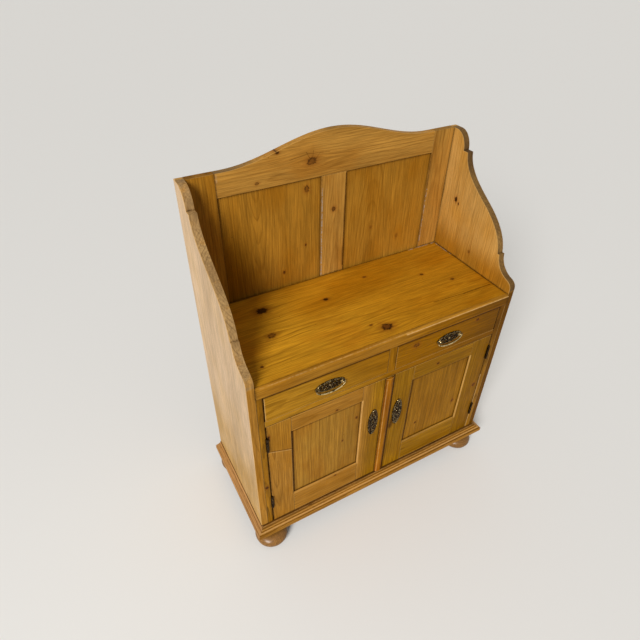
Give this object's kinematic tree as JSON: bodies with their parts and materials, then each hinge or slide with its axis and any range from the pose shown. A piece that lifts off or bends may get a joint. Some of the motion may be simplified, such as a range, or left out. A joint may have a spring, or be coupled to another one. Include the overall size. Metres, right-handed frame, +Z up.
{
  "type": "dry sink cabinet",
  "caption": "Gallery-backed pine cabinet: scroll-cut sides and arched panelled back round a worktop, drawers with drop handles, cupboard with framed doors and shelf, moulded base, bun feet.",
  "frame": {"origin": "on the floor, below the middle of the cabinet's outer box", "axes": "+Z up, -Y towards the front with the doors and drawers, +X towards the cabinet's right as seen from the front"},
  "size_m": [1.006, 0.464, 1.267],
  "materials": {
    "honey_pine": "waxed honey-coloured pine, satin",
    "pale_pine": "waxed pine worn paler, satin",
    "inside_pine": "bare pine, matt",
    "red_pine": "waxed reddish pine, satin",
    "base_pine": "waxed brown pine, satin",
    "antique_brass": "dark antique patina",
    "hinge_iron": "dark aged iron"
  },
  "bodies": {
    "cabinet": {"left_side": "pale_pine", "right_side": "pale_pine", "left_front_stile": "honey_pine", "right_front_stile": "honey_pine", "left_drawer_guide": "inside_pine", "right_drawer_guide": "inside_pine", "worktop": "honey_pine", "drawer_divider": "honey_pine", "dust_board": "honey_pine", "shelf": "inside_pine", "bottom_board": "inside_pine", "back_top_rail": "honey_pine", "back_bottom_rail": "honey_pine", "back_mid_stile": "honey_pine", "back_left_stile": "honey_pine", "back_right_stile": "honey_pine", "back_left_panel": "honey_pine", "back_right_panel": "honey_pine", "base_front": "base_pine", "base_left": "base_pine", "base_right": "base_pine", "left_front_foot": "base_pine", "right_front_foot": "base_pine", "left_back_foot": "base_pine", "right_back_foot": "base_pine", "left_upper_hinge_body_leaf": "hinge_iron", "left_lower_hinge_body_leaf": "hinge_iron", "right_upper_hinge_body_leaf": "hinge_iron", "right_lower_hinge_body_leaf": "hinge_iron"},
    "left_door": {"left_door_outer_stile": "honey_pine", "left_door_meeting_stile": "honey_pine", "left_door_top_rail": "honey_pine", "left_door_bottom_rail": "honey_pine", "left_door_panel": "honey_pine", "left_keyhole_plate": "antique_brass", "meeting_strip": "red_pine", "left_upper_hinge_door_leaf": "hinge_iron", "left_lower_hinge_door_leaf": "hinge_iron"},
    "right_door": {"right_door_outer_stile": "honey_pine", "right_door_meeting_stile": "honey_pine", "right_door_top_rail": "honey_pine", "right_door_bottom_rail": "honey_pine", "right_door_panel": "honey_pine", "right_keyhole_plate": "antique_brass", "right_upper_hinge_door_leaf": "hinge_iron", "right_lower_hinge_door_leaf": "hinge_iron"},
    "left_drawer": {"left_drawer_front": "honey_pine", "left_drawer_left_side": "inside_pine", "left_drawer_right_side": "inside_pine", "left_drawer_back": "inside_pine", "left_drawer_bottom": "inside_pine", "left_pull_plate": "antique_brass"},
    "right_drawer": {"right_drawer_front": "honey_pine", "right_drawer_left_side": "inside_pine", "right_drawer_right_side": "inside_pine", "right_drawer_back": "inside_pine", "right_drawer_bottom": "inside_pine", "right_pull_plate": "antique_brass"},
    "left_bail": {"left_pull_bail": "antique_brass"},
    "right_bail": {"right_pull_bail": "antique_brass"}
  },
  "joints": [
    {"name": "left_door_hinge", "type": "hinge", "parent": "cabinet", "child": "left_door", "pos_m": [-0.43425, -0.1815, 0.35], "axis": [0, 0, -1], "range_deg": [0, 165]},
    {"name": "right_door_hinge", "type": "hinge", "parent": "cabinet", "child": "right_door", "pos_m": [0.43425, -0.1815, 0.35], "axis": [0, 0, 1], "range_deg": [0, 165]},
    {"name": "left_drawer_slide", "type": "slide", "parent": "cabinet", "child": "left_drawer", "axis": [0, -1, 0], "range_m": [0, 0.3]},
    {"name": "right_drawer_slide", "type": "slide", "parent": "cabinet", "child": "right_drawer", "axis": [0, -1, 0], "range_m": [0, 0.3]},
    {"name": "left_bail_hinge", "type": "hinge", "parent": "left_drawer", "child": "left_bail", "pos_m": [-0.224, -0.1853, 0.6764], "axis": [-1, 0, 0], "range_deg": [0, 95]},
    {"name": "right_bail_hinge", "type": "hinge", "parent": "right_drawer", "child": "right_bail", "pos_m": [0.224, -0.1853, 0.6764], "axis": [-1, 0, 0], "range_deg": [0, 95]}
  ]
}
